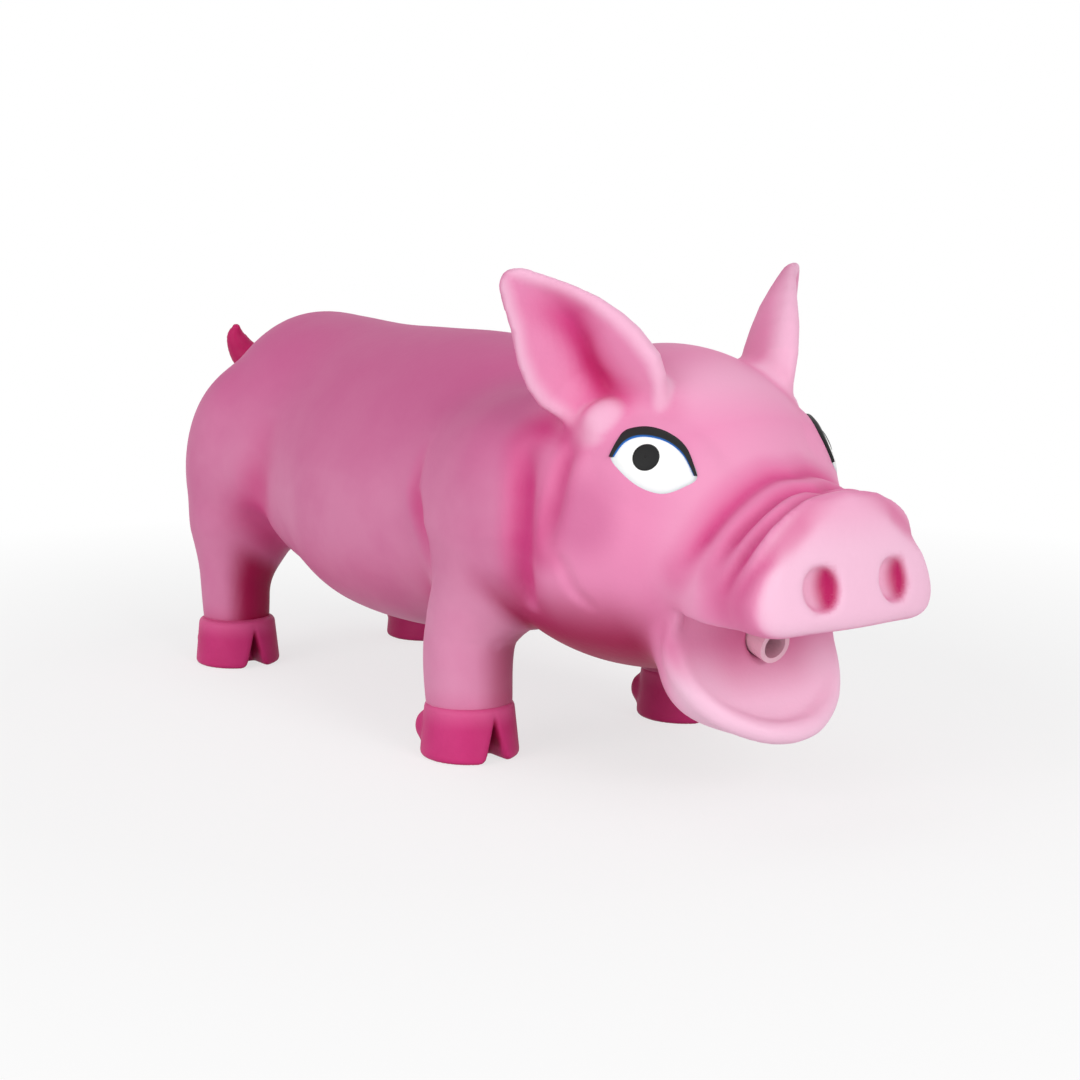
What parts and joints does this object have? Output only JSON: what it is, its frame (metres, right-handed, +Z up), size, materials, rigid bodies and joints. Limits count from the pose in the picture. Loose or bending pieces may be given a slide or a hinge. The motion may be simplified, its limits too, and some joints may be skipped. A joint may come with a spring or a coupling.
{
  "type": "latex pig dog toy",
  "caption": "Standing pig dog toy in moulded latex, fibre filled, with a wrinkled snout, cupped ears, cleft hooves and a reed voice tube in its open mouth.",
  "frame": {"origin": "on the floor under the middle of the overall length, between the left and right hooves", "axes": "+X from tail to snout, +Y to the pig's left, +Z up"},
  "size_m": [0.227, 0.0772, 0.1001],
  "materials": {
    "skin_latex": "matte pink latex, airbrushed deeper pink in the creases",
    "hoof_paint": "matte magenta paint on latex",
    "tail_paint": "matte dark magenta paint on latex",
    "eye_white": "satin white paint on latex",
    "eye_black": "satin black paint on latex",
    "fibre": "loose white polyester fibre",
    "voice_plastic": "pale pink moulded plastic",
    "reed_film": "clear amber plastic film"
  },
  "bodies": {
    "toy": {"torso": "skin_latex", "head": "skin_latex", "snout": "skin_latex", "lower_jaw": "skin_latex", "ear_right": "skin_latex", "ear_left": "skin_latex", "front_leg_right": "skin_latex", "front_leg_left": "skin_latex", "rear_leg_right": "skin_latex", "rear_leg_left": "skin_latex", "front_hoof_right": "hoof_paint", "front_hoof_left": "hoof_paint", "rear_hoof_right": "hoof_paint", "rear_hoof_left": "hoof_paint", "tail": "tail_paint", "eye_white_right": "eye_white", "eye_white_left": "eye_white", "pupil_right": "eye_black", "pupil_left": "eye_black", "eye_lash_right": "eye_black", "eye_lash_left": "eye_black", "fibre_filling": "fibre", "voice_barrel": "voice_plastic", "reed_trough": "voice_plastic", "reed_wedge": "voice_plastic", "guard_cap": "voice_plastic"},
    "reed_tongue": {"reed": "reed_film"}
  },
  "joints": [
    {"name": "reed_flex", "type": "hinge", "parent": "toy", "child": "reed_tongue", "pos_m": [0.05922, 0, 0.03812], "axis": [0, -1, 0], "range_deg": [-1, 5], "stiffness_Nm_per_rad": 0.01}
  ]
}
